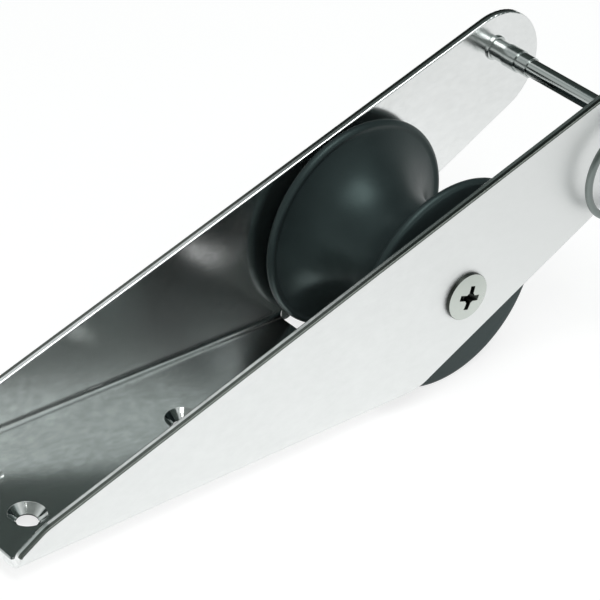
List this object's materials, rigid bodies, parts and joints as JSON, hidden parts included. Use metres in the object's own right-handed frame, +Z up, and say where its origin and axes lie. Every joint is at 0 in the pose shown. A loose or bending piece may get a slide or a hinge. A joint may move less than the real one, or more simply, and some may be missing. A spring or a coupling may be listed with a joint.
{
  "type": "stemhead roller",
  "caption": "Folded stainless bow channel with a grooved rubber anchor roller on an axle and a draw-out keeper pin with a pull ring across its nose.",
  "frame": {"origin": "on the underside of the base plate, midway between the rear pair of fixing holes", "axes": "+X forward towards the roller and the nose, +Y to port, +Z up, away from the deck"},
  "size_m": [0.25, 0.0711, 0.0919],
  "materials": {
    "stainless_plate": "satin polished stainless plate",
    "stainless_turned": "turned stainless",
    "stainless_polished": "mirror polished stainless",
    "black_rubber": "moulded, slightly glossy",
    "bush_plastic": "natural acetal"
  },
  "bodies": {
    "channel_body": {"channel": "stainless_plate", "axle_tube": "stainless_turned", "axle_screws": "stainless_turned", "pin_boss": "stainless_turned"},
    "roller": {"roller_tyre": "black_rubber", "roller_core": "bush_plastic", "bush_port": "bush_plastic", "bush_starboard": "bush_plastic"},
    "keeper": {"keeper_pin": "stainless_polished"},
    "ring": {"pin_ring": "stainless_polished"}
  },
  "joints": [
    {"name": "roller_spin", "type": "hinge", "parent": "channel_body", "child": "roller", "pos_m": [0.152, 0, 0.032], "axis": [0, 1, 0], "continuous": true},
    {"name": "keeper_slide", "type": "slide", "parent": "channel_body", "child": "keeper", "axis": [0, -1, 0], "range_m": [0, 0.057]},
    {"name": "ring_swing", "type": "hinge", "parent": "keeper", "child": "ring", "pos_m": [0.2135, -0.0349, 0.0755], "axis": [-1, 0, 0], "range_deg": [-4, 150]}
  ]
}
